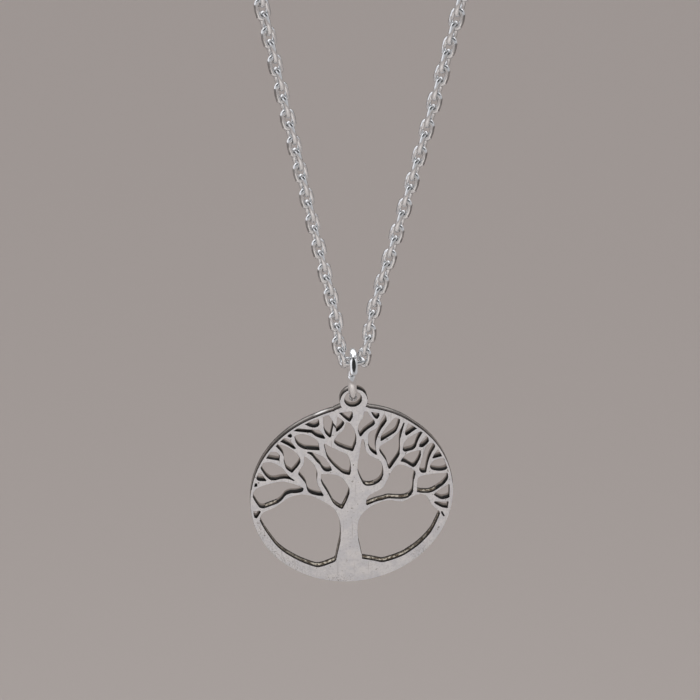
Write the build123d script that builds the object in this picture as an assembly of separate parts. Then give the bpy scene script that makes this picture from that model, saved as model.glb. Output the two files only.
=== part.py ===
from build123d import *
import os
from math import cos, radians, tan

# Tree of life pendant on its chain, in millimetres.
# The necklace hangs in the XZ plane and is seen from -Y. +Z is up.
# The origin is the inner top of the loop, where it hangs. The loop hangs from
# there, the ring hangs from the loop, and the pendant hangs from the ring.

# Pendant plate
disc_radius = 10.0
plate_thickness = 0.87
rim_width = 0.26
tip_radius = 0.07
eye_outer_radius = 1.34
eye_hole_radius = 0.83
eye_rise = 1.14
eye_drop = 0.22
eye_shift = 0.07
neck_width = 2.2
neck_foot_width = 3.6
crown_rise = 0.18
crown_radius = 8.8
crown_offset = 0.2

# Jump ring, an open ring of round wire turned a little out of square
ring_wire = 0.82
ring_outer_diameter = 5.1
ring_turn = 3.0
cut_angle = 26.0
cut_width = 0.06
cut_spread = 0.26
eye_play = 0.1

# Chain, as a tube of the links' width
chain_width = 1.3
chain_play = 0.07
chain_end_gap = 0.1

# Clasp, a plain ring with a small lug at each side
clasp_outer_diameter = 5.6
clasp_wire = 1.1
lug_outer_diameter = 2.1
lug_wire = 0.55

# Half-turn share of a run that a bend may take, and the turn past which a corner is a tip
bend_share = 0.45
tip_turn = 68.0

# Height of the loop, from the fold in the ring to the clasp's middle
chain_top_height = 209.48

# Route of the chain from end to end: x, and height above the fold as a share of the loop's
chain_route = [
    (-11.6, 0.9919),
    (-20.4, 0.9633),
    (-27.2, 0.9037),
    (-27.9, 0.8393),
    (-26.9, 0.7296),
    (-23.3, 0.5722),
    (-17.2, 0.391),
    (-9.9, 0.2098),
    (-5.4, 0.1068),
    (-2.75, 0.0482),
    (-1.48, 0.0219),
    (-1.4, 0.0),
    (1.4, 0.0),
    (1.52, 0.0219),
    (3.05, 0.0482),
    (6.2, 0.1068),
    (11.1, 0.2098),
    (18.3, 0.391),
    (24.1, 0.5722),
    (27.3, 0.7296),
    (28.0, 0.8393),
    (27.4, 0.9037),
    (20.4, 0.9633),
    (11.6, 0.9919),
]

# Gaps of the tree as shares of the disc's radius, seen from the front: x, height.
# Points past the rim's inner edge are trimmed to it.

# Gaps along the rim, clockwise from the left
rim_gaps = [
    [(-0.985, -0.098), (-0.898, -0.1), (-0.94, -0.18), (-0.985, -0.16)],
    [(-0.975, 0.09), (-0.95, 0.145), (-0.91, 0.172), (-0.855, 0.193), (-0.78, 0.212),
     (-0.7, 0.226), (-0.65, 0.217), (-0.6, 0.201), (-0.515, 0.16), (-0.48, 0.137),
     (-0.49, 0.1), (-0.54, 0.09), (-0.6, 0.092), (-0.64, 0.08), (-0.665, 0.06),
     (-0.69, 0.02), (-0.73, -0.017), (-0.78, -0.036), (-0.87, -0.069), (-0.905, -0.06),
     (-0.93, -0.02), (-0.965, 0.05)],
    [(-0.965, 0.22), (-0.93, 0.22), (-0.93, 0.19), (-0.965, 0.185)],
    [(-0.935, 0.29), (-0.915, 0.338), (-0.88, 0.32), (-0.86, 0.28), (-0.835, 0.243),
     (-0.87, 0.248), (-0.92, 0.252)],
    [(-0.9, 0.44), (-0.85, 0.452), (-0.775, 0.447), (-0.725, 0.415), (-0.68, 0.375),
     (-0.655, 0.335), (-0.62, 0.28), (-0.545, 0.215), (-0.61, 0.252), (-0.655, 0.264),
     (-0.7, 0.262), (-0.76, 0.247), (-0.795, 0.254), (-0.83, 0.285), (-0.86, 0.33),
     (-0.89, 0.395)],
    [(-0.86, 0.505), (-0.85, 0.56), (-0.77, 0.568), (-0.73, 0.56), (-0.705, 0.525),
     (-0.712, 0.466)],
    [(-0.745, 0.655), (-0.69, 0.64), (-0.64, 0.62), (-0.585, 0.578), (-0.55, 0.545),
     (-0.518, 0.5), (-0.505, 0.45), (-0.53, 0.4), (-0.59, 0.325), (-0.645, 0.37),
     (-0.667, 0.475), (-0.665, 0.525), (-0.69, 0.57), (-0.745, 0.64)],
    [(-0.71, 0.71), (-0.65, 0.72), (-0.605, 0.69), (-0.585, 0.65), (-0.548, 0.592),
     (-0.575, 0.597), (-0.62, 0.635), (-0.7, 0.685)],
    [(-0.63, 0.74), (-0.6, 0.765), (-0.585, 0.74), (-0.6, 0.72)],
    [(-0.57, 0.82), (-0.49, 0.81), (-0.4, 0.793), (-0.325, 0.79), (-0.3, 0.755),
     (-0.262, 0.685), (-0.32, 0.705), (-0.36, 0.725), (-0.395, 0.765), (-0.5, 0.78),
     (-0.57, 0.795)],
    [(-0.495, 0.884), (-0.36, 0.95), (-0.322, 0.885), (-0.33, 0.835), (-0.37, 0.82),
     (-0.41, 0.83)],
    [(-0.288, 0.96), (-0.25, 0.965), (-0.21, 0.905), (-0.192, 0.87), (-0.19, 0.85),
     (-0.2, 0.79), (-0.217, 0.695), (-0.26, 0.745), (-0.275, 0.79), (-0.283, 0.85)],
    [(-0.145, 0.985), (-0.02, 0.99), (-0.001, 0.955), (-0.003, 0.92), (-0.03, 0.865),
     (-0.06, 0.89), (-0.085, 0.915)],
    [(0.112, 0.99), (0.13, 0.985), (0.15, 0.94), (0.175, 0.9), (0.2, 0.87),
     (0.213, 0.843), (0.2, 0.815), (0.15, 0.78), (0.11, 0.745), (0.073, 0.69),
     (0.05, 0.775), (0.055, 0.825), (0.075, 0.865), (0.095, 0.89), (0.105, 0.935)],
    [(0.175, 0.975), (0.245, 0.96), (0.255, 0.93), (0.245, 0.9), (0.23, 0.882),
     (0.205, 0.905), (0.187, 0.94)],
    [(0.302, 0.93), (0.32, 0.9), (0.327, 0.86), (0.305, 0.82), (0.27, 0.77),
     (0.245, 0.71), (0.225, 0.65), (0.22, 0.55), (0.242, 0.472), (0.21, 0.495),
     (0.18, 0.525), (0.165, 0.555), (0.152, 0.6), (0.15, 0.68), (0.155, 0.73),
     (0.215, 0.765), (0.24, 0.785), (0.265, 0.85), (0.285, 0.9)],
    [(0.452, 0.895), (0.41, 0.885), (0.375, 0.852), (0.345, 0.81), (0.29, 0.725),
     (0.27, 0.68), (0.272, 0.63), (0.36, 0.69), (0.412, 0.725), (0.432, 0.77),
     (0.455, 0.86)],
    [(0.51, 0.878), (0.47, 0.71), (0.46, 0.65), (0.457, 0.6), (0.46, 0.53),
     (0.455, 0.465), (0.43, 0.42), (0.36, 0.305), (0.345, 0.355), (0.335, 0.4),
     (0.3, 0.46), (0.275, 0.5), (0.26, 0.535), (0.267, 0.573), (0.34, 0.62),
     (0.38, 0.645), (0.445, 0.72), (0.465, 0.75)],
    [(0.54, 0.84), (0.645, 0.775), (0.585, 0.73), (0.518, 0.68), (0.507, 0.705),
     (0.515, 0.75), (0.53, 0.79)],
    [(0.68, 0.718), (0.645, 0.65), (0.625, 0.6), (0.612, 0.545), (0.59, 0.52),
     (0.51, 0.498), (0.49, 0.52), (0.495, 0.575), (0.51, 0.615), (0.545, 0.65),
     (0.59, 0.68), (0.65, 0.712)],
    [(0.72, 0.67), (0.735, 0.64), (0.74, 0.61), (0.725, 0.58), (0.68, 0.538),
     (0.648, 0.548), (0.655, 0.575), (0.675, 0.615)],
    [(0.76, 0.58), (0.79, 0.575), (0.805, 0.55), (0.795, 0.52), (0.77, 0.475),
     (0.75, 0.42), (0.735, 0.36), (0.72, 0.25), (0.68, 0.247), (0.655, 0.29),
     (0.67, 0.36), (0.7, 0.475), (0.71, 0.54)],
    [(0.84, 0.51), (0.865, 0.47), (0.885, 0.43), (0.78, 0.405), (0.8, 0.45)],
    [(0.8, 0.38), (0.85, 0.396), (0.895, 0.4), (0.935, 0.32), (0.925, 0.272),
     (0.865, 0.258), (0.785, 0.276), (0.76, 0.31), (0.772, 0.35)],
    [(0.645, 0.19), (0.68, 0.206), (0.75, 0.22), (0.825, 0.226), (0.935, 0.228),
     (0.943, 0.2), (0.935, 0.15), (0.9, 0.1), (0.85, 0.06), (0.8, 0.025),
     (0.76, 0.012), (0.69, 0.016), (0.642, 0.03), (0.64, 0.1)],
    [(0.958, 0.1), (0.963, 0.05), (0.963, -0.05), (0.945, -0.062), (0.89, -0.073),
     (0.85, -0.05), (0.81, -0.012), (0.835, 0.015), (0.875, 0.045), (0.92, 0.075)],
    [(0.805, -0.093), (0.867, -0.104), (0.957, -0.106), (0.95, -0.178), (0.9, -0.168),
     (0.833, -0.125)],
    [(0.885, -0.215), (0.9, -0.22), (0.925, -0.275), (0.91, -0.27)],
]

# Gaps between the boughs, inside the crown
crown_gaps = [
    [(-0.56, 0.735), (-0.51, 0.75), (-0.44, 0.74), (-0.375, 0.7), (-0.335, 0.66),
     (-0.322, 0.565), (-0.41, 0.575), (-0.47, 0.585), (-0.52, 0.62), (-0.55, 0.67)],
    [(-0.47, 0.505), (-0.4, 0.436), (-0.375, 0.4), (-0.35, 0.34), (-0.342, 0.3),
     (-0.348, 0.24), (-0.343, 0.18), (-0.325, 0.13), (-0.28, 0.038), (-0.35, 0.05),
     (-0.4, 0.07), (-0.428, 0.092), (-0.442, 0.13), (-0.45, 0.19), (-0.5, 0.265),
     (-0.532, 0.31), (-0.5, 0.37), (-0.472, 0.41)],
    [(-0.46, 0.55), (-0.4, 0.545), (-0.335, 0.51), (-0.285, 0.485), (-0.25, 0.435),
     (-0.22, 0.385), (-0.203, 0.33), (-0.235, 0.316), (-0.27, 0.325), (-0.295, 0.355),
     (-0.31, 0.395), (-0.35, 0.44), (-0.4, 0.52)],
    [(-0.28, 0.64), (-0.23, 0.6), (-0.14, 0.545), (-0.09, 0.52), (-0.053, 0.495),
     (-0.035, 0.46), (-0.024, 0.42), (-0.014, 0.325), (-0.03, 0.265), (-0.07, 0.278),
     (-0.1, 0.295), (-0.17, 0.365), (-0.23, 0.45), (-0.25, 0.495), (-0.26, 0.545)],
    [(-0.305, 0.287), (-0.225, 0.282), (-0.17, 0.273), (-0.125, 0.252), (-0.09, 0.22),
     (-0.04, 0.13), (-0.027, 0.095), (-0.03, 0.055), (-0.06, -0.04), (-0.1, -0.125),
     (-0.15, -0.09), (-0.185, -0.05), (-0.205, -0.005), (-0.23, 0.055), (-0.29, 0.17),
     (-0.306, 0.22)],
    [(-0.066, 0.855), (-0.035, 0.853), (-0.01, 0.815), (0.01, 0.78), (0.025, 0.735),
     (0.035, 0.68), (0.03, 0.625), (0.0, 0.535), (-0.07, 0.563), (-0.11, 0.584),
     (-0.155, 0.61), (-0.185, 0.655), (-0.15, 0.72), (-0.11, 0.752), (-0.085, 0.78)],
    [(-0.152, 0.925), (-0.105, 0.885), (-0.082, 0.86), (-0.1, 0.82), (-0.13, 0.785),
     (-0.16, 0.758), (-0.165, 0.81), (-0.152, 0.86)],
    [(-0.194, 0.851), (-0.187, 0.855), (-0.149, 0.794), (-0.156, 0.79)],
    [(0.095, 0.68), (0.115, 0.625), (0.12, 0.575), (0.13, 0.52), (0.16, 0.475),
     (0.25, 0.42), (0.27, 0.4), (0.29, 0.36), (0.302, 0.3), (0.3, 0.25),
     (0.285, 0.2), (0.26, 0.165), (0.22, 0.14), (0.175, 0.13), (0.135, 0.132),
     (0.108, 0.155), (0.07, 0.25), (0.055, 0.3), (0.05, 0.35), (0.052, 0.4),
     (0.065, 0.475), (0.08, 0.61)],
    [(0.6, 0.495), (0.663, 0.503), (0.667, 0.475), (0.66, 0.425), (0.64, 0.375),
     (0.615, 0.33), (0.595, 0.318), (0.565, 0.34), (0.515, 0.38), (0.47, 0.392),
     (0.5, 0.44), (0.53, 0.47)],
    [(0.45, 0.352), (0.5, 0.343), (0.55, 0.316), (0.622, 0.263), (0.61, 0.21),
     (0.602, 0.15), (0.602, 0.075), (0.595, 0.025), (0.57, -0.012), (0.54, -0.035),
     (0.49, -0.041), (0.425, -0.035), (0.35, -0.025), (0.3, -0.044), (0.25, -0.052),
     (0.2, -0.07), (0.145, -0.095), (0.138, -0.07), (0.142, -0.03), (0.16, 0.005),
     (0.19, 0.03), (0.28, 0.075), (0.305, 0.1), (0.325, 0.14), (0.37, 0.25),
     (0.395, 0.297), (0.42, 0.332)],
]

# Large gaps beside the trunk
field_gaps = [
    [(-0.48, 0.065), (-0.58, 0.052), (-0.63, 0.032), (-0.7, -0.025), (-0.755, -0.065),
     (-0.8, -0.09), (-0.865, -0.115), (-0.895, -0.15), (-0.91, -0.2), (-0.87, -0.3),
     (-0.8, -0.43), (-0.742, -0.525), (-0.667, -0.605), (-0.583, -0.67), (-0.5, -0.727),
     (-0.417, -0.77), (-0.345, -0.803), (-0.28, -0.79), (-0.16, -0.742), (-0.152, -0.68),
     (-0.133, -0.583), (-0.112, -0.467), (-0.112, -0.367), (-0.12, -0.267), (-0.142, -0.2),
     (-0.17, -0.13), (-0.233, -0.067), (-0.317, -0.008), (-0.4, 0.042)],
    [(0.1, -0.2), (0.15, -0.145), (0.2, -0.105), (0.26, -0.08), (0.31, -0.06),
     (0.38, -0.055), (0.435, -0.07), (0.5, -0.079), (0.54, -0.065), (0.61, -0.015),
     (0.68, -0.004), (0.725, -0.015), (0.75, -0.05), (0.77, -0.1), (0.8, -0.15),
     (0.875, -0.225), (0.867, -0.26), (0.833, -0.355), (0.79, -0.455), (0.733, -0.53),
     (0.667, -0.603), (0.583, -0.67), (0.515, -0.718), (0.417, -0.757), (0.31, -0.787),
     (0.233, -0.76), (0.105, -0.727), (0.103, -0.68), (0.087, -0.6), (0.062, -0.467),
     (0.055, -0.34), (0.072, -0.25)],
]

# Heights, worked out from the inner top of the loop downwards
clasp_z = clasp_outer_diameter / 2
fold_z = clasp_z - chain_top_height
ring_radius = (ring_outer_diameter - ring_wire) / 2
ring_top_z = fold_z + (chain_width + ring_wire) / 2 + chain_play
ring_z = ring_top_z - ring_radius
ring_bottom_z = ring_z - ring_radius
eye_z = ring_bottom_z - eye_hole_radius + ring_wire / 2 + eye_play
disc_z = eye_z - disc_radius - eye_rise
clasp_radius = (clasp_outer_diameter - clasp_wire) / 2
lug_radius = (lug_outer_diameter - lug_wire) / 2
lug_x = clasp_radius + clasp_wire / 2 + lug_radius


def bend_setback(before, corner, after):
    """How far a bend's arc starts before its corner."""
    run_in = corner - before
    run_out = after - corner
    turn = run_in.get_angle(run_out)
    setback = bend_share * min(run_in.length, run_out.length)
    if turn > tip_turn:
        setback = min(setback, tip_radius * tan(radians(turn / 2)))
    return setback


def gap_face(shares):
    """One gap of the tree: short runs joined by arcs, with small arcs at the tips."""
    points = [Vector(x * disc_radius, z * disc_radius) for x, z in shares]
    edges = []
    starts = []
    ends = []
    for i, corner in enumerate(points):
        before = points[i - 1]
        after = points[(i + 1) % len(points)]
        setback = bend_setback(before, corner, after)
        starts.append(corner - (corner - before).normalized() * setback)
        ends.append(corner + (after - corner).normalized() * setback)
    for i, corner in enumerate(points):
        edges.append(TangentArc(starts[i], ends[i], tangent=corner - points[i - 1]))
        edges.append(Line(ends[i], starts[(i + 1) % len(points)]))
    return make_face(Wire(edges))


def make_pendant():
    """The plate with its eye, pierced by the gaps of the tree."""
    eye_height = disc_radius + eye_rise
    neck_top = eye_height - eye_hole_radius
    neck = make_face(
        Polyline(
            (-neck_foot_width / 2, disc_radius),
            (0, 0),
            (neck_foot_width / 2, disc_radius),
            (neck_width / 2, neck_top),
            (-neck_width / 2, neck_top),
            close=True,
        )
    )
    crown_centre = disc_radius + crown_rise - crown_radius
    plate = Circle(disc_radius) + Pos(crown_offset, crown_centre) * Circle(crown_radius)
    plate += neck
    plate += Pos(eye_shift, eye_height - eye_drop) * Circle(eye_outer_radius)
    plate -= Pos(0, eye_height) * Circle(eye_hole_radius)
    inner_field = Circle(disc_radius - rim_width)
    gaps = [gap_face(shares) & inner_field for shares in rim_gaps]
    gaps += [gap_face(shares) for shares in crown_gaps + field_gaps]
    plate -= gaps
    standing = Plane((0, 0, disc_z), x_dir=(1, 0, 0), z_dir=(0, -1, 0))
    return extrude(standing * plate, amount=plate_thickness / 2, both=True)


def ring_arc(start, end):
    """Part of the ring's wire, in degrees from its top over the front."""
    turned = Plane((0, 0, ring_z), x_dir=(0, 0, 1), z_dir=(1, 0, 0))
    arc = Torus(ring_radius, ring_wire / 2, major_angle=end - start, align=None)
    return turned * Rot(0, 0, start) * arc


def make_jump_ring():
    """The open ring. Its lower end stands aside from the upper one at the cut."""
    half_cut = cut_width / ring_radius / 2 / radians(1)
    upper_end = 90.0 - cut_angle - half_cut
    lower_end = 90.0 - cut_angle + half_cut
    lower_arc = ring_arc(lower_end, 180.0)
    reach = ring_radius * (1 + cos(radians(lower_end)))
    lean = cut_spread / reach / radians(1)
    foot = Axis((0, 0, ring_bottom_z), (0, 1, 0))
    lower_arc = lower_arc.rotate(foot, -lean)
    ring = ring_arc(180.0, 360.0 + upper_end) + lower_arc
    return ring.rotate(Axis.Z, -ring_turn)


def make_clasp():
    """The plain clasp ring with the lugs that take the chain's end links."""
    standing = Plane((0, 0, clasp_z), x_dir=(1, 0, 0), z_dir=(0, -1, 0))
    clasp = standing * Torus(clasp_radius, clasp_wire / 2)
    for side in (-1, 1):
        lug = Torus(lug_radius, lug_wire / 2)
        clasp += standing * Pos(side * lug_x, 0) * lug
    return clasp


def make_chain():
    """The chain's tube, from one lug down through the ring and up to the other."""
    end_x = lug_x + lug_outer_diameter / 2 + chain_end_gap
    points = [Vector(-end_x, 0, chain_top_height)]
    points += [Vector(x, 0, share * chain_top_height) for x, share in chain_route]
    points += [Vector(end_x, 0, chain_top_height)]
    points = [point + Vector(0, 0, fold_z) for point in points]
    radii = []
    for before, corner, after in zip(points, points[1:], points[2:]):
        run_in = corner - before
        run_out = after - corner
        half_turn = radians(run_in.get_angle(run_out) / 2)
        radii.append(bend_share * min(run_in.length, run_out.length) / tan(half_turn))
    path = FilletPolyline(*points, radius=radii)
    section = Plane(path @ 0, z_dir=path % 0) * Circle(chain_width / 2)
    tube = sweep(section, path=path)
    print("chain bend radii", [round(radius, 1) for radius in radii])
    print("chain length", round(path.length, 1), "volume", round(tube.volume, 2))
    return tube


os.makedirs("parts", exist_ok=True)
export_step(make_pendant(), "parts/pendant.step")
export_step(make_jump_ring(), "parts/jump_ring.step")
export_step(make_clasp(), "parts/clasp.step")
export_step(make_chain(), "parts/chain.step")
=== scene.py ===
from math import cos, pi, radians, sin
from random import Random

import bpy
from mathutils import Matrix, Quaternion, Vector


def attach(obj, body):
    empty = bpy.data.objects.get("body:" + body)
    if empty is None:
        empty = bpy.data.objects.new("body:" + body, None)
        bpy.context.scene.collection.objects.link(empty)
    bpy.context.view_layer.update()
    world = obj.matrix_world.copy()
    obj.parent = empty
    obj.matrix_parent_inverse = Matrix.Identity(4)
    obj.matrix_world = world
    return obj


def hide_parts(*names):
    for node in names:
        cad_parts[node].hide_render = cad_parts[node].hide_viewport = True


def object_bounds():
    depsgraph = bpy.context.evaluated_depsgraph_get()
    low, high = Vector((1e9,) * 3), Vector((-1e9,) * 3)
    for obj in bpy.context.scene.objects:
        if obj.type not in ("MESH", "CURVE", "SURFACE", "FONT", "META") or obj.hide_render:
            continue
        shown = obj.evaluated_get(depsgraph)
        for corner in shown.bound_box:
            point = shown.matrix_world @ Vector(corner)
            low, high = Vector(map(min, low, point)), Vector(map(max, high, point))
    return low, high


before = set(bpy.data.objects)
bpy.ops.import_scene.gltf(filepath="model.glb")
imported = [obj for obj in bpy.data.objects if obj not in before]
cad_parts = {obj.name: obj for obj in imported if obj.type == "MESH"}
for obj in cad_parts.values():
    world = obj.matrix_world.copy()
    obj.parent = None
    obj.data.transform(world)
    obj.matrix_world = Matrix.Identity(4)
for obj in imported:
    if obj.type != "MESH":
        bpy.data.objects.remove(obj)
cad_low, cad_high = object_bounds()

MM = 0.001

# Pendant plate
DISC_RADIUS = 10.0 * MM
DISC_Z = -221.29 * MM
EYE_Z = -210.15 * MM
EDGE_ROUNDING = 0.05 * MM
PLATE_SHARP_EDGE = radians(75.0)
PLATE_SMOOTH_ANGLE = radians(50.0)
FLAT_ANGLE = radians(0.5)
MERGE_REACH = 0.0005 * MM

# Finishes of the plate, and where they meet
FACE, EDGE, DARK_WALL, OPEN_WALL = range(4)
EYE_REACH = 1.6 * MM
EYE_SHOULDER = 1.1 * MM
RIM_SHARE = 0.988
# Place of the painted highlight on the outer edge
EDGE_GLINT_PLACE = Vector((-3.1, 0.0, -211.75)) * MM

# Jump ring
RING_RADIUS = 2.14 * MM
RING_WIRE = 0.82 * MM
RING_Z = -207.69 * MM
RING_TURN = radians(-3.0)
RING_CUT_ANGLE = radians(26.0)
RING_CUT_WIDTH = 0.06 * MM
RING_CUT_SPREAD = 0.26 * MM
RING_END_ROUNDING = 0.05 * MM
RING_SHARP_EDGE = radians(60.0)
RING_SMOOTH_ANGLE = radians(40.0)
RING_MERGE_REACH = 0.005 * MM
RING_SIDES = 20
FRONT_ARC_STEPS = 20
LONG_ARC_STEPS = 44

# Chain links: wide ones show their broad side to the front, narrow ones nearly their edge
LINK_WIRE = 0.46 * MM
LINK_WIDTH = 1.45 * MM
LINK_PITCH = 1.295 * MM
WIDE_LENGTH = 1.2 * MM + 2 * LINK_WIRE
NARROW_LENGTH = 2 * LINK_PITCH - WIDE_LENGTH + 4 * LINK_WIRE
WIDE_ROLL = radians(-32.0)
NARROW_ROLL = radians(56.0)
CLASP_ROLL = radians(90.0)
LEFT_TWIST = radians(12.0)
ROLL_PLAY = radians(6.0)
STILL_LINKS = 3
CLASP_TURN_LINKS = 14
LINK_SEED = 5
LINK_SEGMENTS = 16
WIRE_SIDES = 6

# The link that carries the ring, and where the strands start above it
MIDDLE_LENGTH = 2.44 * MM
MIDDLE_LINK = Vector((-0.02, 0.0, -206.28)) * MM
STRAND_START = 2.2 * MM

# Route of the chain, from the left end down through the ring and up to the right end:
# x in millimetres, and the share of the loop's height above the fold
FOLD_Z = -206.68 * MM
LOOP_HEIGHT = 209.48 * MM
ROUTE_END_X = 4.785 * MM
ROUTE_STEPS = 24
CHAIN_ROUTE = [
    (-11.6, 0.9919),
    (-20.4, 0.9633),
    (-27.2, 0.9037),
    (-27.9, 0.8393),
    (-26.9, 0.7296),
    (-23.3, 0.5722),
    (-17.2, 0.391),
    (-9.9, 0.2098),
    (-5.4, 0.1068),
    (-2.75, 0.0482),
    (-1.48, 0.0219),
    (-1.4, 0.0),
    (1.4, 0.0),
    (1.52, 0.0219),
    (3.05, 0.0482),
    (6.2, 0.1068),
    (11.1, 0.2098),
    (18.3, 0.391),
    (24.1, 0.5722),
    (27.3, 0.7296),
    (28.0, 0.8393),
    (27.4, 0.9037),
    (20.4, 0.9633),
    (11.6, 0.9919),
]

# Camera
CAMERA_PLACE = Vector((-17.4317, -154.5129, -121.1734)) * MM
CAMERA_ELEVATION = radians(28.3564)
CAMERA_AZIMUTH = radians(-6.3315)
CAMERA_ROLL = radians(0.44)
CAMERA_LENS = 96.59

# Floor, and the soft light over it
FLOOR_DROP = 60.0 * MM
FLOOR_SIZE = 6.0
FILL_CENTRE = Vector((0.0, 0.0, -215.0)) * MM
FILL_PLACE = FILL_CENTRE + Vector((-30.0, -210.0, 60.0)) * MM
FILL_TARGET = FILL_CENTRE + Vector((-20.0, -160.0, -70.0)) * MM
FILL_SIZE = (260.0 * MM, 160.0 * MM)
FILL_POWER = 0.31
FILL_COLOUR = (0.87, 0.95, 1.0)

# Light of the room, from the low front over the head to the low back
ROOM_STRENGTH = 1.38
ROOM_ARC = [
    (0.0, (0.29, 0.29, 0.30)),
    (0.2, (0.29, 0.29, 0.30)),
    (0.48, (0.40, 0.40, 0.42)),
    (0.62, (0.95, 0.95, 0.98)),
    (0.86, (0.95, 0.95, 0.98)),
    (0.93, (0.30, 0.295, 0.29)),
    (1.0, (0.22, 0.215, 0.21)),
]
ROOM_LEFT = (0.62, 0.62, 0.65)
ROOM_RIGHT = (0.34, 0.34, 0.35)
DARK_PATCH_ARC = 0.4
DARK_PATCH_HEIGHT = 0.215
DARK_PATCH_WIDTH = 0.84
DARK_PATCH_TONE = (0.02, 0.02, 0.02)

# Tones of the front face
FACE_DIM = (0.81, 0.83, 0.87)
FACE_BRIGHT = (0.95, 0.96, 0.975)
FACE_GRAIN = (0.60, 0.61, 0.63)
FACE_HAIRLINE = (0.60, 0.60, 0.61)
FACE_SPECK = (0.35, 0.34, 0.32)
FACE_KNOCK = (0.30, 0.30, 0.30)

# Tones of the outer edge and of the walls in the gaps
EDGE_DIM = (0.27, 0.25, 0.23)
EDGE_BRIGHT = (0.62, 0.58, 0.54)
# Painted highlight on the outer edge
EDGE_GLINT = (0.92, 0.90, 0.87)
# Painted dark reflection over the front half of the outer edge
EDGE_FRONT_SHADE = (0.05, 0.038, 0.032)
# Dark lines of painted reflection along the outer edge's front and back corners
EDGE_SHADE_LINE = (0.02, 0.016, 0.014)
WALL_BLACK = (0.006, 0.005, 0.004)
WALL_BROWN = (0.10, 0.078, 0.06)
WALL_BEHIND = (0.30, 0.25, 0.215)
# Painted reflection streaks on the walls of the large gaps, and their painted dark edge lines
OPEN_REFLECTION_BROWN = (0.07, 0.05, 0.03)
OPEN_REFLECTION_BRIGHT = (0.50, 0.45, 0.37)
OPEN_SHADE_LINE = (0.012, 0.009, 0.006)

# Tones of the wire and of the floor
WIRE_DIM = (0.94, 0.955, 0.965)
WIRE_BRIGHT = (0.98, 0.985, 0.99)
# Painted dark reflection along the outer sides of the wide links
LINK_SHADE_DIM = (0.34, 0.335, 0.33)
LINK_SHADE_BRIGHT = (0.58, 0.575, 0.57)
FLOOR_TONE = (0.575, 0.507, 0.466)

# Fine scratches: how the three sets are turned, and how fine and long they are
SCRATCH_TURNS = (0.5, -0.75, 1.3)
SCRATCH_SCALE = (7000.0, 7000.0, 260.0)


def start_clean():
    """Nothing is selected and nothing is active."""
    if bpy.context.object and bpy.context.object.mode != "OBJECT":
        bpy.ops.object.mode_set(mode="OBJECT")
    bpy.ops.object.select_all(action="DESELECT")


def take(piece):
    """Makes one piece the only selected and active one."""
    start_clean()
    piece.select_set(True)
    bpy.context.view_layer.objects.active = piece


def apply_modifiers(piece):
    """Applies every modifier of a piece, in their order."""
    take(piece)
    for modifier in list(piece.modifiers):
        bpy.ops.object.modifier_apply(modifier=modifier.name)


def select_points(piece, wanted):
    """In edit mode, selects the points for which wanted says yes."""
    bpy.ops.mesh.select_mode(type="VERT")
    bpy.ops.mesh.select_all(action="DESELECT")
    bpy.ops.object.mode_set(mode="OBJECT")
    for vertex in piece.data.vertices:
        vertex.select = wanted(vertex.co)
    bpy.ops.object.mode_set(mode="EDIT")


def settle(piece, name, smooth_angle):
    """Names a finished piece, turns its faces outwards and smooths it by angle."""
    take(piece)
    bpy.ops.object.transform_apply(location=True, rotation=True, scale=True)
    bpy.ops.object.mode_set(mode="EDIT")
    bpy.ops.mesh.select_all(action="SELECT")
    bpy.ops.mesh.normals_make_consistent(inside=False)
    bpy.ops.object.mode_set(mode="OBJECT")
    bpy.ops.object.shade_smooth_by_angle(angle=smooth_angle)
    piece.name = name
    piece.data.name = name


# Materials


def new_material(name):
    """A new material, its node tree and its shader."""
    material = bpy.data.materials.new(name)
    material.use_nodes = True
    shader = material.node_tree.nodes["Principled BSDF"]
    return material, material.node_tree, shader


def noise_node(tree, vector, scale, detail=3.0, roughness=0.5):
    """Cloudy noise over a vector."""
    noise = tree.nodes.new("ShaderNodeTexNoise")
    noise.inputs["Scale"].default_value = scale
    noise.inputs["Detail"].default_value = detail
    noise.inputs["Roughness"].default_value = roughness
    tree.links.new(vector, noise.inputs["Vector"])
    return noise.outputs["Fac"]


def range_node(tree, value, low, high, new_low=0.0, new_high=1.0):
    """Maps a value from one range to another and holds it there."""
    spread = tree.nodes.new("ShaderNodeMapRange")
    spread.inputs["From Min"].default_value = low
    spread.inputs["From Max"].default_value = high
    spread.inputs["To Min"].default_value = new_low
    spread.inputs["To Max"].default_value = new_high
    tree.links.new(value, spread.inputs["Value"])
    return spread.outputs["Result"]


def mix_colours(tree, factor, first, second):
    """Mixes two colours. Either may be a socket or a plain colour."""
    mix = tree.nodes.new("ShaderNodeMix")
    mix.data_type = "RGBA"
    tree.links.new(factor, mix.inputs["Factor"])
    for socket, colour in ((mix.inputs["A"], first), (mix.inputs["B"], second)):
        if isinstance(colour, tuple):
            socket.default_value = (*colour, 1.0)
        else:
            tree.links.new(colour, socket)
    return mix.outputs["Result"]


def math_node(tree, operation, first, second=0.0):
    """One sum on two values. Either may be a socket or a plain number."""
    node = tree.nodes.new("ShaderNodeMath")
    node.operation = operation
    for socket, value in zip(node.inputs, (first, second)):
        if isinstance(value, (int, float)):
            socket.default_value = value
        else:
            tree.links.new(value, socket)
    return node.outputs["Value"]


def object_coordinates(tree):
    """Places on the piece, in metres."""
    return tree.nodes.new("ShaderNodeTexCoord").outputs["Object"]


def split_node(tree, vector):
    """The X, Y and Z of a vector."""
    parts = tree.nodes.new("ShaderNodeSeparateXYZ")
    tree.links.new(vector, parts.inputs["Vector"])
    return parts.outputs


def bump_node(tree, height, distance):
    """A normal raised by a height of so many metres."""
    bump = tree.nodes.new("ShaderNodeBump")
    bump.inputs["Distance"].default_value = distance
    tree.links.new(height, bump.inputs["Height"])
    return bump.outputs["Normal"]


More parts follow.
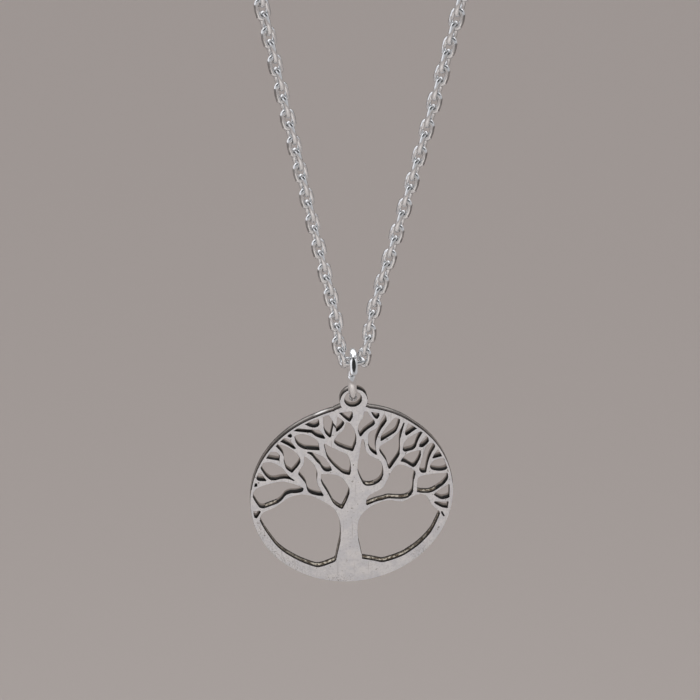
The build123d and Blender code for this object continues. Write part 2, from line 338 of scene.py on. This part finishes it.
def make_wear_and_shade_group():
    """Patches, specks, fine scratches, and a mask for dark reflection lines painted along the front
    and back edges, shared by the silver finishes.
    """
    group = bpy.data.node_groups.new("silver_wear_and_shade", "ShaderNodeTree")
    new_socket = group.interface.new_socket
    new_socket("Coordinates", in_out="INPUT", socket_type="NodeSocketVector")
    for name, value in (
        ("Patch Scale", 700.0),
        ("Speck Scale", 2600.0),
        ("Speck Limit", 0.7),
        ("Line Start", 0.2 * MM),
        ("Line End", 0.36 * MM),
    ):
        socket = new_socket(name, in_out="INPUT", socket_type="NodeSocketFloat")
        socket.default_value = value
    for name in ("Patches", "Specks", "Scratches", "Edge Shade Lines"):
        new_socket(name, in_out="OUTPUT", socket_type="NodeSocketFloat")
    given = group.nodes.new("NodeGroupInput")
    result = group.nodes.new("NodeGroupOutput")
    place = given.outputs["Coordinates"]
    patches = noise_node(group, place, 1.0, 4.0, 0.62)
    group.links.new(given.outputs["Patch Scale"], patches.node.inputs["Scale"])
    group.links.new(patches, result.inputs["Patches"])
    specks = noise_node(group, place, 1.0, 2.0, 0.5)
    group.links.new(given.outputs["Speck Scale"], specks.node.inputs["Scale"])
    past_limit = math_node(group, "SUBTRACT", specks, given.outputs["Speck Limit"])
    group.links.new(range_node(group, past_limit, 0.0, 0.05), result.inputs["Specks"])
    scratches = None
    for turn in SCRATCH_TURNS:
        mapping = group.nodes.new("ShaderNodeMapping")
        mapping.inputs["Rotation"].default_value = (0.0, turn, 0.0)
        mapping.inputs["Scale"].default_value = SCRATCH_SCALE
        group.links.new(place, mapping.inputs["Vector"])
        marks = noise_node(group, mapping.outputs["Vector"], 1.0, 2.0)
        scratches = marks if scratches is None else math_node(group, "ADD", scratches, marks)
    group.links.new(scratches, result.inputs["Scratches"])
    # A mask near the front and back faces, where the materials paint dark reflection lines
    depth = math_node(group, "ABSOLUTE", split_node(group, place)["Y"])
    waver = range_node(group, patches, 0.0, 1.0, -0.10 * MM, 0.10 * MM)
    lines = group.nodes.new("ShaderNodeMapRange")
    group.links.new(math_node(group, "ADD", depth, waver), lines.inputs["Value"])
    group.links.new(given.outputs["Line Start"], lines.inputs["From Min"])
    group.links.new(given.outputs["Line End"], lines.inputs["From Max"])
    group.links.new(lines.outputs["Result"], result.inputs["Edge Shade Lines"])
    return group


def wear_and_shade_node(tree, coordinates, **values):
    """The shared wear and the painted reflection-line mask in a material, with the values given by
    name.
    """
    group = bpy.data.node_groups.get("silver_wear_and_shade") or make_wear_and_shade_group()
    node = tree.nodes.new("ShaderNodeGroup")
    node.node_tree = group
    tree.links.new(coordinates, node.inputs["Coordinates"])
    for name, value in values.items():
        node.inputs[name.replace("_", " ").title()].default_value = value
    return node.outputs


def near_mask(tree, coordinates, place, inner, outer):
    """One at a place on the piece, fading to nothing at the outer distance."""
    distance = tree.nodes.new("ShaderNodeVectorMath")
    distance.operation = "DISTANCE"
    tree.links.new(coordinates, distance.inputs[0])
    distance.inputs[1].default_value = place
    return range_node(tree, distance.outputs["Value"], inner, outer, 1.0, 0.0)


def low_rim_wear(tree, coordinates):
    """One on the small knocks along the lower half of the rim."""
    centre = (0.0, 0.0, DISC_Z)
    inside = near_mask(tree, coordinates, centre, 0.84 * DISC_RADIUS, 0.98 * DISC_RADIUS)
    height = split_node(tree, coordinates)["Z"]
    lower = range_node(tree, height, DISC_Z - 0.05 * DISC_RADIUS, DISC_Z - 0.3 * DISC_RADIUS)
    zone = math_node(tree, "MULTIPLY", math_node(tree, "SUBTRACT", 1.0, inside), lower)
    worn = range_node(tree, noise_node(tree, coordinates, 260.0, 2.0), 0.42, 0.60)
    knocks = range_node(tree, noise_node(tree, coordinates, 6500.0, 3.0, 0.6), 0.50, 0.68, 0.0, 0.75)
    return math_node(tree, "MULTIPLY", zone, math_node(tree, "MULTIPLY", worn, knocks))


def make_face_silver():
    """Satin silver of the front: cloudy patches, fine scratches and small dark specks."""
    material, tree, shader = new_material("face_silver")
    shader.inputs["Metallic"].default_value = 1.0
    coordinates = object_coordinates(tree)
    wear_and_shade = wear_and_shade_node(tree, coordinates, patch_scale=900.0, speck_scale=2600.0, speck_limit=0.68)
    patch_mask = range_node(tree, wear_and_shade["Patches"], 0.38, 0.62)
    colour = mix_colours(tree, patch_mask, FACE_DIM, FACE_BRIGHT)
    grain = range_node(tree, noise_node(tree, coordinates, 4200.0, 3.0, 0.6), 0.50, 0.66, 0.0, 0.35)
    colour = mix_colours(tree, grain, colour, FACE_GRAIN)
    hairlines = range_node(tree, wear_and_shade["Scratches"], 1.70, 1.92, 0.0, 0.8)
    colour = mix_colours(tree, hairlines, colour, FACE_HAIRLINE)
    colour = mix_colours(tree, wear_and_shade["Specks"], colour, FACE_SPECK)
    colour = mix_colours(tree, low_rim_wear(tree, coordinates), colour, FACE_KNOCK)
    tree.links.new(colour, shader.inputs["Base Color"])
    roughness = range_node(tree, wear_and_shade["Patches"], 0.3, 0.7, 0.30, 0.42)
    tree.links.new(roughness, shader.inputs["Roughness"])
    tree.links.new(bump_node(tree, wear_and_shade["Scratches"], 0.010 * MM), shader.inputs["Normal"])
    return material


def make_edge_silver():
    """The plate's outer edge: painted dark reflection in front, grey behind, painted dark reflection
    lines along the corners, and one painted highlight.
    """
    material, tree, shader = new_material("edge_silver")
    coordinates = object_coordinates(tree)
    wear_and_shade = wear_and_shade_node(tree, coordinates, patch_scale=420.0, line_start=0.18 * MM, line_end=0.34 * MM)
    patch_mask = range_node(tree, wear_and_shade["Patches"], 0.4, 0.66)
    colour = mix_colours(tree, patch_mask, EDGE_DIM, EDGE_BRIGHT)
    # Painted highlight: one bright spot on the upper left of the edge, where a lamp would be mirrored
    glint = near_mask(tree, coordinates, EDGE_GLINT_PLACE, 0.25 * MM, 0.85 * MM)
    colour = mix_colours(tree, glint, colour, EDGE_GLINT)
    # Painted dark reflection: the front half of the edge is darkened
    depth = split_node(tree, coordinates)["Y"]
    front_shade = range_node(tree, depth, 0.04 * MM, -0.10 * MM, 0.0, 0.9)
    colour = mix_colours(tree, front_shade, colour, EDGE_FRONT_SHADE)
    # Painted dark reflection lines along the front and back corners, with less metal there
    colour = mix_colours(tree, wear_and_shade["Edge Shade Lines"], colour, EDGE_SHADE_LINE)
    tree.links.new(colour, shader.inputs["Base Color"])
    metal = range_node(tree, wear_and_shade["Edge Shade Lines"], 0.0, 1.0, 1.0, 0.2)
    tree.links.new(metal, shader.inputs["Metallic"])
    shader.inputs["Specular IOR Level"].default_value = 0.1
    roughness = range_node(tree, wear_and_shade["Patches"], 0.3, 0.7, 0.16, 0.3)
    tree.links.new(roughness, shader.inputs["Roughness"])
    tree.links.new(bump_node(tree, wear_and_shade["Scratches"], 0.004 * MM), shader.inputs["Normal"])
    return material


def make_dark_wall():
    """Blackened silver inside the small gaps: brown in places, and paler behind."""
    material, tree, shader = new_material("dark_wall")
    coordinates = object_coordinates(tree)
    wear_and_shade = wear_and_shade_node(tree, coordinates, patch_scale=420.0, line_start=0.05 * MM, line_end=0.2 * MM)
    brown = range_node(tree, wear_and_shade["Patches"], 0.47, 0.60)
    middle = range_node(tree, wear_and_shade["Edge Shade Lines"], 0.0, 1.0, 1.0, 0.0)
    mask = math_node(tree, "MULTIPLY", brown, middle)
    colour = mix_colours(tree, mask, WALL_BLACK, WALL_BROWN)
    waver = range_node(tree, wear_and_shade["Patches"], 0.35, 0.65, -0.12 * MM, 0.12 * MM)
    depth = math_node(tree, "ADD", split_node(tree, coordinates)["Y"], waver)
    behind = range_node(tree, depth, 0.0, 0.16 * MM)
    colour = mix_colours(tree, behind, colour, WALL_BEHIND)
    tree.links.new(colour, shader.inputs["Base Color"])
    shader.inputs["Specular IOR Level"].default_value = 0.12
    shader.inputs["Roughness"].default_value = 0.5
    tree.links.new(bump_node(tree, wear_and_shade["Patches"], 0.02 * MM), shader.inputs["Normal"])
    return material


def make_open_wall():
    """Silver inside the large gaps: bright and brown streaks of painted reflection, between dark lines
    of painted reflection along the edges.
    """
    material, tree, shader = new_material("open_wall")
    coordinates = object_coordinates(tree)
    wear_and_shade = wear_and_shade_node(tree, coordinates, patch_scale=3200.0, line_start=0.13 * MM, line_end=0.24 * MM)
    # Painted reflection: bright and brown streaks stand in for the pale surroundings mirrored in the
    # wall
    mask = range_node(tree, wear_and_shade["Patches"], 0.44, 0.6)
    colour = mix_colours(tree, mask, OPEN_REFLECTION_BROWN, OPEN_REFLECTION_BRIGHT)
    # Painted dark reflection lines along the front and back corners of the wall
    colour = mix_colours(tree, wear_and_shade["Edge Shade Lines"], colour, OPEN_SHADE_LINE)
    tree.links.new(colour, shader.inputs["Base Color"])
    metal = range_node(tree, wear_and_shade["Edge Shade Lines"], 0.0, 1.0, 1.0, 0.0)
    tree.links.new(metal, shader.inputs["Metallic"])
    shader.inputs["Specular IOR Level"].default_value = 0.12
    roughness = range_node(tree, wear_and_shade["Patches"], 0.35, 0.65, 0.42, 0.22)
    tree.links.new(roughness, shader.inputs["Roughness"])
    tree.links.new(bump_node(tree, wear_and_shade["Patches"], 0.02 * MM), shader.inputs["Normal"])
    return material


def make_wire_silver(name, low_roughness, high_roughness, edge_tint=1.0, metallic=1.0):
    """Polished silver wire with faint handling marks."""
    material, tree, shader = new_material(name)
    shader.inputs["Metallic"].default_value = metallic
    shader.inputs["Specular Tint"].default_value = (edge_tint, edge_tint, edge_tint, 1.0)
    coordinates = object_coordinates(tree)
    wear_and_shade = wear_and_shade_node(tree, coordinates, patch_scale=1200.0)
    mask = range_node(tree, wear_and_shade["Patches"], 0.35, 0.65)
    colour = mix_colours(tree, mask, WIRE_DIM, WIRE_BRIGHT)
    tree.links.new(colour, shader.inputs["Base Color"])
    roughness = range_node(tree, wear_and_shade["Patches"], 0.3, 0.7, low_roughness, high_roughness)
    tree.links.new(roughness, shader.inputs["Roughness"])
    tree.links.new(bump_node(tree, wear_and_shade["Scratches"], 0.001 * MM), shader.inputs["Normal"])
    return material


def make_link_side_shade():
    """Darker silver along the outer sides of the wide links: painted dark reflection."""
    material, tree, shader = new_material("link_side_shade")
    shader.inputs["Metallic"].default_value = 1.0
    wear_and_shade = wear_and_shade_node(tree, object_coordinates(tree), patch_scale=1500.0)
    mask = range_node(tree, wear_and_shade["Patches"], 0.4, 0.65)
    colour = mix_colours(tree, mask, LINK_SHADE_DIM, LINK_SHADE_BRIGHT)
    tree.links.new(colour, shader.inputs["Base Color"])
    shader.inputs["Roughness"].default_value = 0.3
    return material


# Pieces


def wall_kind(centre, normal):
    """Which finish a face of the plate has, by where it lies and how it faces."""
    faces_down = normal.z < 0.05 and normal.x > -0.5
    if abs(normal.y) > (0.35 if faces_down else 0.95):
        return FACE
    right = centre.x / DISC_RADIUS
    up = (centre.z - DISC_Z) / DISC_RADIUS
    eye_distance = Vector((centre.x, centre.z - EYE_Z)).length
    if eye_distance < EYE_REACH:
        is_outer_left = eye_distance > EYE_SHOULDER and normal.x < -0.15
        return EDGE if is_outer_left else DARK_WALL
    if Vector((right, up)).length > RIM_SHARE or up > 0.99:
        return EDGE
    if abs(right) > 0.83 and up > -0.28:
        return DARK_WALL
    if up < -0.02:
        return OPEN_WALL
    is_low_bough = right > 0.6 and up < 0.13
    is_drop_foot = 0.06 < right < 0.34 and up < 0.14
    if normal.z > 0.25 and (is_low_bough or is_drop_foot):
        return OPEN_WALL
    return DARK_WALL


def make_pendant():
    """The pierced plate with its eye: joined faces, rounded edges and its own finishes."""
    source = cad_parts["pendant"]
    piece = bpy.data.objects.new("tree_pendant", source.data.copy())
    bpy.context.collection.objects.link(piece)
    take(piece)
    bpy.ops.object.mode_set(mode="EDIT")
    bpy.ops.mesh.select_all(action="SELECT")
    bpy.ops.mesh.remove_doubles(threshold=MERGE_REACH)
    bpy.ops.mesh.dissolve_limited(angle_limit=FLAT_ANGLE)
    bpy.ops.object.mode_set(mode="OBJECT")
    bevel = piece.modifiers.new("edges", "BEVEL")
    bevel.width = EDGE_ROUNDING
    bevel.segments = 2
    bevel.limit_method = "ANGLE"
    bevel.angle_limit = PLATE_SHARP_EDGE
    bevel.use_clamp_overlap = False
    apply_modifiers(piece)
    settle(piece, "tree_pendant", PLATE_SMOOTH_ANGLE)
    weights = piece.modifiers.new("flat_faces", "WEIGHTED_NORMAL")
    weights.keep_sharp = True
    apply_modifiers(piece)
    piece.data.materials.clear()
    for make_finish in (make_face_silver, make_edge_silver, make_dark_wall, make_open_wall):
        piece.data.materials.append(make_finish())
    for face in piece.data.polygons:
        face.material_index = wall_kind(face.center, face.normal)
    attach(piece, "pendant")
    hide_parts("pendant")


def make_jump_ring():
    """The open ring of round wire. Its lower front end stands aside at the cut."""
    half_cut = RING_CUT_WIDTH / RING_RADIUS / 2
    upper_end = pi / 2 - RING_CUT_ANGLE - half_cut
    lower_end = pi / 2 - RING_CUT_ANGLE + half_cut
    centre = Vector((0.0, 0.0, RING_Z))
    foot = centre - Vector((0.0, 0.0, RING_RADIUS))
    arcs = []
    for sweep, steps in ((pi - lower_end, FRONT_ARC_STEPS), (-(pi + upper_end), LONG_ARC_STEPS)):
        start_clean()
        bpy.ops.mesh.primitive_circle_add(
            vertices=RING_SIDES,
            radius=RING_WIRE / 2,
            fill_type="NOTHING",
            location=foot,
            rotation=(pi / 2, 0.0, 0.0),
        )
        arc = bpy.context.object
        bpy.ops.object.transform_apply(location=True, rotation=True, scale=True)
        bpy.ops.object.mode_set(mode="EDIT")
        bpy.ops.mesh.select_all(action="SELECT")
        bpy.ops.mesh.spin(steps=steps, angle=sweep, center=centre, axis=(1.0, 0.0, 0.0))
        bpy.ops.mesh.edge_face_add()
        bpy.ops.object.mode_set(mode="OBJECT")
        arcs.append(arc)
    front, rest = arcs
    reach = RING_RADIUS * (1 + cos(lower_end))
    lean = -RING_CUT_SPREAD / reach
    front.data.transform(
        Matrix.Translation(foot) @ Matrix.Rotation(lean, 4, "Y") @ Matrix.Translation(-foot)
    )
    take(rest)
    front.select_set(True)
    bpy.ops.object.join()
    ring = bpy.context.object
    bpy.ops.object.mode_set(mode="EDIT")
    bpy.ops.mesh.select_all(action="SELECT")
    bpy.ops.mesh.remove_doubles(threshold=RING_MERGE_REACH)
    bpy.ops.object.mode_set(mode="OBJECT")
    rounding = ring.modifiers.new("ends", "BEVEL")
    rounding.width = RING_END_ROUNDING
    rounding.segments = 2
    rounding.limit_method = "ANGLE"
    rounding.angle_limit = RING_SHARP_EDGE
    rounding.use_clamp_overlap = False
    apply_modifiers(ring)
    ring.data.transform(Matrix.Rotation(RING_TURN, 4, "Z"))
    settle(ring, "bail_ring", RING_SMOOTH_ANGLE)
    ring.data.materials.append(make_wire_silver("ring_silver_wire", 0.09, 0.15))
    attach(ring, "ring")
    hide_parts("jump_ring")


def route_points():
    """Points close together on the chain's smooth line, from its left end to its right."""
    curve = bpy.data.curves.new("chain_line", "CURVE")
    curve.dimensions = "3D"
    curve.resolution_u = ROUTE_STEPS
    points = [(-ROUTE_END_X, LOOP_HEIGHT + FOLD_Z)]
    points += [(x * MM, share * LOOP_HEIGHT + FOLD_Z) for x, share in CHAIN_ROUTE]
    points += [(ROUTE_END_X, LOOP_HEIGHT + FOLD_Z)]
    spline = curve.splines.new("NURBS")
    spline.points.add(len(points) - 1)
    for point, (x, z) in zip(spline.points, points):
        point.co = (x, 0.0, z, 1.0)
    spline.order_u = 3
    spline.use_endpoint_u = True
    line = bpy.data.objects.new("chain_line", curve)
    bpy.context.collection.objects.link(line)
    bpy.context.view_layer.update()
    mesh = bpy.data.meshes.new_from_object(line)
    found = [vertex.co.copy() for vertex in mesh.vertices]
    bpy.data.meshes.remove(mesh)
    bpy.data.objects.remove(line)
    bpy.data.curves.remove(curve)
    return found


def make_link(length, silver, side_shade=None):
    """One oval link of round wire, its long side along Z and its hole along Y."""
    start_clean()
    bend_radius = (LINK_WIDTH - LINK_WIRE) / 2
    bpy.ops.mesh.primitive_torus_add(
        major_radius=bend_radius,
        minor_radius=LINK_WIRE / 2,
        major_segments=LINK_SEGMENTS,
        minor_segments=WIRE_SIDES,
        rotation=(pi / 2, 0.0, 0.0),
    )
    link = bpy.context.object
    bpy.ops.object.transform_apply(location=True, rotation=True, scale=True)
    stretch = (length - LINK_WIDTH) / 2
    for side in (-1, 1):
        take(link)
        bpy.ops.object.mode_set(mode="EDIT")
        select_points(link, lambda place: place.z * side > 0.01 * MM)
        bpy.ops.transform.translate(value=(0.0, 0.0, side * stretch))
        bpy.ops.object.mode_set(mode="OBJECT")
    bpy.ops.object.shade_smooth()
    link.data.materials.append(silver)
    # The outer long sides take the painted dark reflection
    if side_shade:
        link.data.materials.append(side_shade)
        for face in link.data.polygons:
            is_outer = abs(face.center.x) > bend_radius + LINK_WIRE / 5
            if is_outer and abs(face.center.z) < stretch + bend_radius / 2:
                face.material_index = 1
    return link


def strand_line(side):
    """The line of one strand, from the middle link's end out to the clasp."""
    hook = MIDDLE_LINK + Vector((side * (MIDDLE_LENGTH - LINK_WIRE) / 2, 0.0, 0.0))
    line = [point for point in route_points() if point.x * side > 0.0]
    line = [point for point in line if point.z > hook.z + STRAND_START]
    if side < 0:
        line.reverse()
    return [hook] + line


def place_link(proto, place, along, roll):
    """A copy of the link, its length along a direction and its hole turned by roll."""
    hole = Quaternion(along, roll) @ Vector((0.0, 1.0, 0.0))
    side = hole.cross(along)
    turn = Matrix((side, hole, along)).transposed().to_4x4()
    mesh = proto.data.copy()
    mesh.transform(Matrix.Translation(place) @ turn)
    link = bpy.data.objects.new("link", mesh)
    bpy.context.collection.objects.link(link)
    return link


def is_narrow(side, number):
    """Whether a strand's link shows its narrow side to the front."""
    return number % 2 == (0 if side < 0 else 1)


def link_roll(side, number, count, random):
    """Roll of a strand's link: wide and narrow by turns, and flat at the clasp."""
    roll = NARROW_ROLL if is_narrow(side, number) else WIDE_ROLL
    to_clasp = max(0.0, 1.0 - (count - 1 - number) / CLASP_TURN_LINKS)
    roll += (CLASP_ROLL - NARROW_ROLL) * to_clasp
    if side < 0:
        roll += LEFT_TWIST * (1.0 - to_clasp)
    roll += random.uniform(-ROLL_PLAY, ROLL_PLAY) * min(number / STILL_LINKS, 1.0)
    return roll


def make_strand(wide, narrow, side, random):
    """The links of one strand, from the ring up to the clasp."""
    line = strand_line(side)
    lengths = [0.0]
    for before, after in zip(line, line[1:]):
        lengths.append(lengths[-1] + (after - before).length)
    # The first link hooks round the middle link's wire, so it ends 1.5 wires below that wire's centre.
    first_length = NARROW_LENGTH if is_narrow(side, 0) else WIDE_LENGTH
    first = first_length / 2 - 1.5 * LINK_WIRE
    spare = lengths[-1] - first
    # The last link is a narrow one, so the count is odd on the left and even on the right.
    odd = 1 if side < 0 else 0
    count = 2 * round((spare / LINK_PITCH + 1 - odd) / 2) + odd
    pitch = spare / (count - 1)
    links = []
    index = 0
    for number in range(count):
        reach = first + number * pitch
        while index < len(lengths) - 2 and lengths[index + 1] < reach:
            index += 1
        step = max(lengths[index + 1] - lengths[index], 1e-9)
        share = min(max((reach - lengths[index]) / step, 0.0), 1.0)
        place = line[index].lerp(line[index + 1], share)
        along = (line[index + 1] - line[index]).normalized()
        roll = link_roll(side, number, count, random)
        shape = narrow if is_narrow(side, number) else wide
        links.append(place_link(shape, place, along, side * roll))
    return links


def make_chain():
    """The chain of oval links, each turned against the one before it."""
    silver = make_wire_silver("chain_silver_wire", 0.12, 0.20, edge_tint=0.6, metallic=0.9)
    narrow = make_link(NARROW_LENGTH, silver)
    wide = make_link(WIDE_LENGTH, silver, make_link_side_shade())
    random = Random(LINK_SEED)
    carrier = make_link(MIDDLE_LENGTH, silver)
    middle = place_link(carrier, MIDDLE_LINK, Vector((1.0, 0.0, 0.0)), radians(90.0))
    for side, name in ((-1, "chain_left"), (1, "chain_right")):
        links = make_strand(wide, narrow, side, random)
        if side < 0:
            links.append(middle)
        take(links[0])
        for link in links:
            link.select_set(True)
        bpy.ops.object.join()
        strand = bpy.context.object
        strand.name = name
        strand.data.name = name
        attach(strand, "chain")
        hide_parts("chain")
    for shape in (wide, narrow, carrier):
        bpy.data.objects.remove(shape)


def dress_clasp():
    """The plain clasp keeps its shape and gets the wire's polish."""
    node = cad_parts["clasp"]
    silver = make_wire_silver("clasp_silver_wire", 0.08, 0.16)
    node.data.materials.clear()
    node.data.materials.append(silver)


# Stage


def make_floor():
    """A plain pale floor below the pendant."""
    start_clean()
    floor_place = (0.0, 0.0, cad_low.z - FLOOR_DROP)
    bpy.ops.mesh.primitive_plane_add(size=FLOOR_SIZE, location=floor_place)
    floor = bpy.context.object
    bpy.ops.object.transform_apply(location=True, rotation=True, scale=True)
    floor.name = "floor"
    material, _, shader = new_material("pale_floor")
    shader.inputs["Base Color"].default_value = (*FLOOR_TONE, 1.0)
    shader.inputs["Roughness"].default_value = 0.9
    floor.data.materials.append(material)


def make_fill_light():
    """A soft light on the floor in front, the part of it that the plate mirrors."""
    data = bpy.data.lights.new("front_fill", "AREA")
    data.shape = "RECTANGLE"
    data.size, data.size_y = FILL_SIZE
    data.energy = FILL_POWER
    data.color = FILL_COLOUR
    light = bpy.data.objects.new("front_fill", data)
    bpy.context.collection.objects.link(light)
    light.location = FILL_PLACE
    light.rotation_mode = "QUATERNION"
    light.rotation_quaternion = (FILL_TARGET - FILL_PLACE).to_track_quat("-Z", "Y")
    light.visible_glossy = False
    light.visible_camera = False


def ramp_node(tree, value, stops):
    """A ramp of greys and tints over a value from 0 to 1."""
    node = tree.nodes.new("ShaderNodeValToRGB")
    node.color_ramp.interpolation = "EASE"
    elements = node.color_ramp.elements
    while len(elements) < len(stops):
        elements.new(0.5)
    for element, (place, colour) in zip(elements, stops):
        element.position = place
        element.color = (*colour, 1.0)
    tree.links.new(value, node.inputs["Fac"])
    return node.outputs["Color"]


def dark_patch(tree, over_head, across):
    """One inside a dark oval high in front, fading to nothing outside it."""
    from_middle = math_node(tree, "SUBTRACT", over_head, DARK_PATCH_ARC)
    upward = math_node(tree, "DIVIDE", from_middle, DARK_PATCH_HEIGHT)
    sideways = math_node(tree, "DIVIDE", across, DARK_PATCH_WIDTH)
    upward = math_node(tree, "POWER", math_node(tree, "ABSOLUTE", upward), 2.0)
    sideways = math_node(tree, "POWER", math_node(tree, "ABSOLUTE", sideways), 2.0)
    reach = math_node(tree, "SQRT", math_node(tree, "ADD", upward, sideways))
    return range_node(tree, reach, 0.86, 1.04, 1.0, 0.0)


def make_world():
    """A soft room: dim in front with a darker patch, a bright band high behind, a pale left side."""
    world = bpy.data.worlds.new("soft_room")
    bpy.context.scene.world = world
    world.use_nodes = True
    tree = world.node_tree
    back = tree.nodes["Background"]
    direction = split_node(tree, tree.nodes.new("ShaderNodeTexCoord").outputs["Generated"])
    forward = math_node(tree, "MULTIPLY", direction["Y"], -1.0)
    arc = math_node(tree, "ARCTAN2", direction["Z"], forward)
    over_head = math_node(tree, "DIVIDE", arc, pi)
    middle = ramp_node(tree, over_head, ROOM_ARC)
    aside = range_node(tree, math_node(tree, "ABSOLUTE", direction["X"]), 0.62, 0.88)
    rightness = range_node(tree, direction["X"], -0.2, 0.2)
    sides = mix_colours(tree, rightness, ROOM_LEFT, ROOM_RIGHT)
    colour = mix_colours(tree, aside, middle, sides)
    shade = dark_patch(tree, over_head, direction["X"])
    colour = mix_colours(tree, shade, colour, DARK_PATCH_TONE)
    tree.links.new(colour, back.inputs["Color"])
    back.inputs["Strength"].default_value = ROOM_STRENGTH


def make_camera():
    """The camera at the photograph's viewing angle."""
    data = bpy.data.cameras.new("camera")
    data.lens = CAMERA_LENS
    data.sensor_width = 36.0
    data.clip_start = 0.01
    data.clip_end = 20.0
    camera = bpy.data.objects.new("camera", data)
    bpy.context.collection.objects.link(camera)
    camera.location = CAMERA_PLACE
    back = Vector(
        (
            sin(CAMERA_AZIMUTH) * cos(CAMERA_ELEVATION),
            -cos(CAMERA_AZIMUTH) * cos(CAMERA_ELEVATION),
            sin(CAMERA_ELEVATION),
        )
    )
    camera.rotation_mode = "QUATERNION"
    level = (-back).to_track_quat("-Z", "Y")
    camera.rotation_quaternion = level @ Quaternion((0.0, 0.0, 1.0), CAMERA_ROLL)
    bpy.context.scene.camera = camera


start_clean()
make_pendant()
make_jump_ring()
make_chain()
dress_clasp()
make_floor()
make_fill_light()
make_world()
make_camera()
bpy.context.scene.view_settings.view_transform = "Standard"
